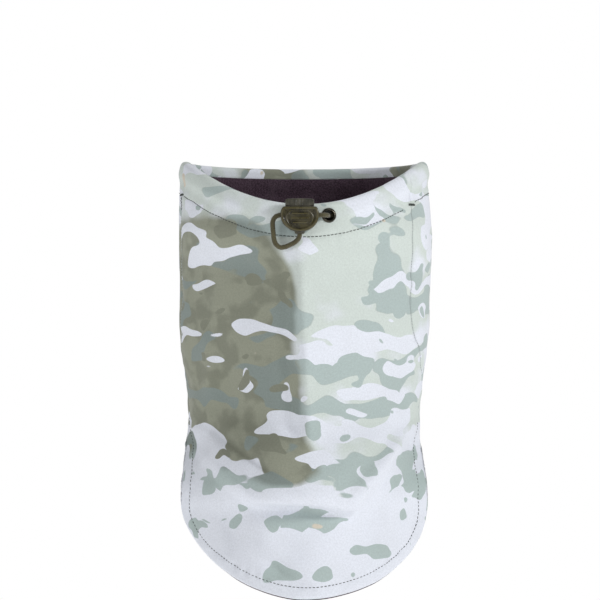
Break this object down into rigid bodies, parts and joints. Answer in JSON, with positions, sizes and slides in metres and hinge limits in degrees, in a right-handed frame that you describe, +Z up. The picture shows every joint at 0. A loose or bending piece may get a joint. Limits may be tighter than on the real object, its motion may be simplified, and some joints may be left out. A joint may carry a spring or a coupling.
{
  "type": "neck gaiter",
  "caption": "Tubular neck and face warmer with a rounded chest bib, a lined softshell body and an elastic drawcord with a spring cord lock at the nose.",
  "frame": {"origin": "centre of the head opening, level with its highest edge", "axes": "+Z up the wearer's head, -Y the way the wearer faces, +X to the right as seen from the front"},
  "size_m": [0.1929, 0.2281, 0.318],
  "materials": {
    "softshell": "printed woven softshell, matt",
    "fleece": "short brushed fleece",
    "thread": "polyester sewing thread",
    "gunmetal": "black oxide, polished",
    "elastic_cord": "braided elastic cord",
    "lock_plastic": "moulded acetal, satin",
    "plunger_plastic": "moulded acetal, satin",
    "spring_steel": "drawn wire"
  },
  "bodies": {
    "gaiter": {"front_shell": "softshell", "back_shell": "softshell", "front_lining": "fleece", "back_lining": "fleece", "channel_stitch_front": "thread", "channel_stitch_back": "thread", "bib_hem_stitch": "thread", "back_hem_stitch": "thread", "left_seam_stitch": "thread", "right_seam_stitch": "thread", "left_bar_tack": "thread", "right_bar_tack": "thread", "eyelet": "gunmetal", "eyelet_washer": "gunmetal", "drawcord": "elastic_cord", "cord_anchor_tack": "thread"},
    "cord_lock": {"lock_body": "lock_plastic", "lock_spring": "spring_steel", "cord_loop": "elastic_cord"},
    "plunger": {"lock_plunger": "plunger_plastic"}
  },
  "joints": [
    {"name": "cord_lock_slide", "type": "slide", "parent": "gaiter", "child": "cord_lock", "axis": [-1, 0, 0], "range_m": [0, 0.01], "deforming": ["cord_loop"]},
    {"name": "plunger_press", "type": "slide", "parent": "cord_lock", "child": "plunger", "axis": [0, 0, -1], "range_m": [0, 0.0025], "stiffness_N_per_m": 1500, "springref_m": -0.002, "deforming": ["lock_spring"]}
  ]
}
